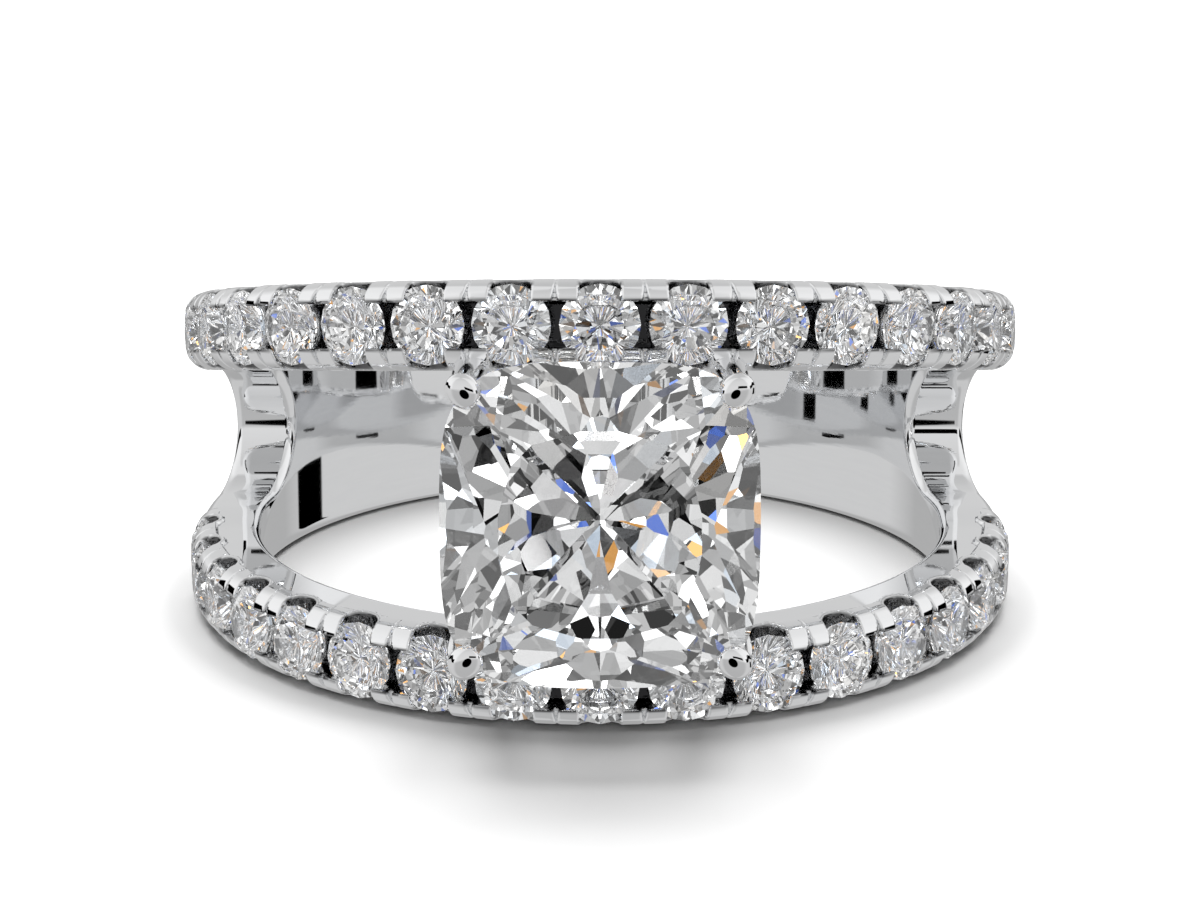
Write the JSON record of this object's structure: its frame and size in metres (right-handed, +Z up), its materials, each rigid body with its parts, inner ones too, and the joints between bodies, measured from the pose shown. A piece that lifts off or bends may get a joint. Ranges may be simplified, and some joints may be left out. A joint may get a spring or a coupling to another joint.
{
  "type": "split shank ring",
  "caption": "Finger ring whose plain shank splits into arms set with small round stones, which carry a raised claw head with a cushion-cut main stone.",
  "frame": {"origin": "middle of the laid ring's box, on the surface that it lies on", "axes": "+Z up from that surface, the head with the main stone towards -Y, the plain back of the shank towards +Y, +X to the right as the head is seen from the front"},
  "size_m": [0.0206, 0.0237, 0.0094],
  "materials": {
    "white_metal": "mirror-polished white gold or platinum",
    "clear_stone": "brilliant-cut clear stone with polished facets"
  },
  "bodies": {
    "root": {"split_shank": "white_metal", "centre_stone": "clear_stone", "upper_stone_1": "clear_stone", "upper_stone_2": "clear_stone", "upper_stone_3": "clear_stone", "upper_stone_4": "clear_stone", "upper_stone_5": "clear_stone", "upper_stone_6": "clear_stone", "upper_stone_7": "clear_stone", "upper_stone_8": "clear_stone", "upper_stone_9": "clear_stone", "upper_stone_10": "clear_stone", "upper_stone_11": "clear_stone", "upper_stone_12": "clear_stone", "upper_stone_13": "clear_stone", "upper_stone_14": "clear_stone", "upper_stone_15": "clear_stone", "upper_stone_16": "clear_stone", "upper_stone_17": "clear_stone", "lower_stone_1": "clear_stone", "lower_stone_2": "clear_stone", "lower_stone_3": "clear_stone", "lower_stone_4": "clear_stone", "lower_stone_5": "clear_stone", "lower_stone_6": "clear_stone", "lower_stone_7": "clear_stone", "lower_stone_8": "clear_stone", "lower_stone_9": "clear_stone", "lower_stone_10": "clear_stone", "lower_stone_11": "clear_stone", "lower_stone_12": "clear_stone", "lower_stone_13": "clear_stone", "lower_stone_14": "clear_stone", "lower_stone_15": "clear_stone", "lower_stone_16": "clear_stone", "lower_stone_17": "clear_stone"}
  },
  "joints": []
}
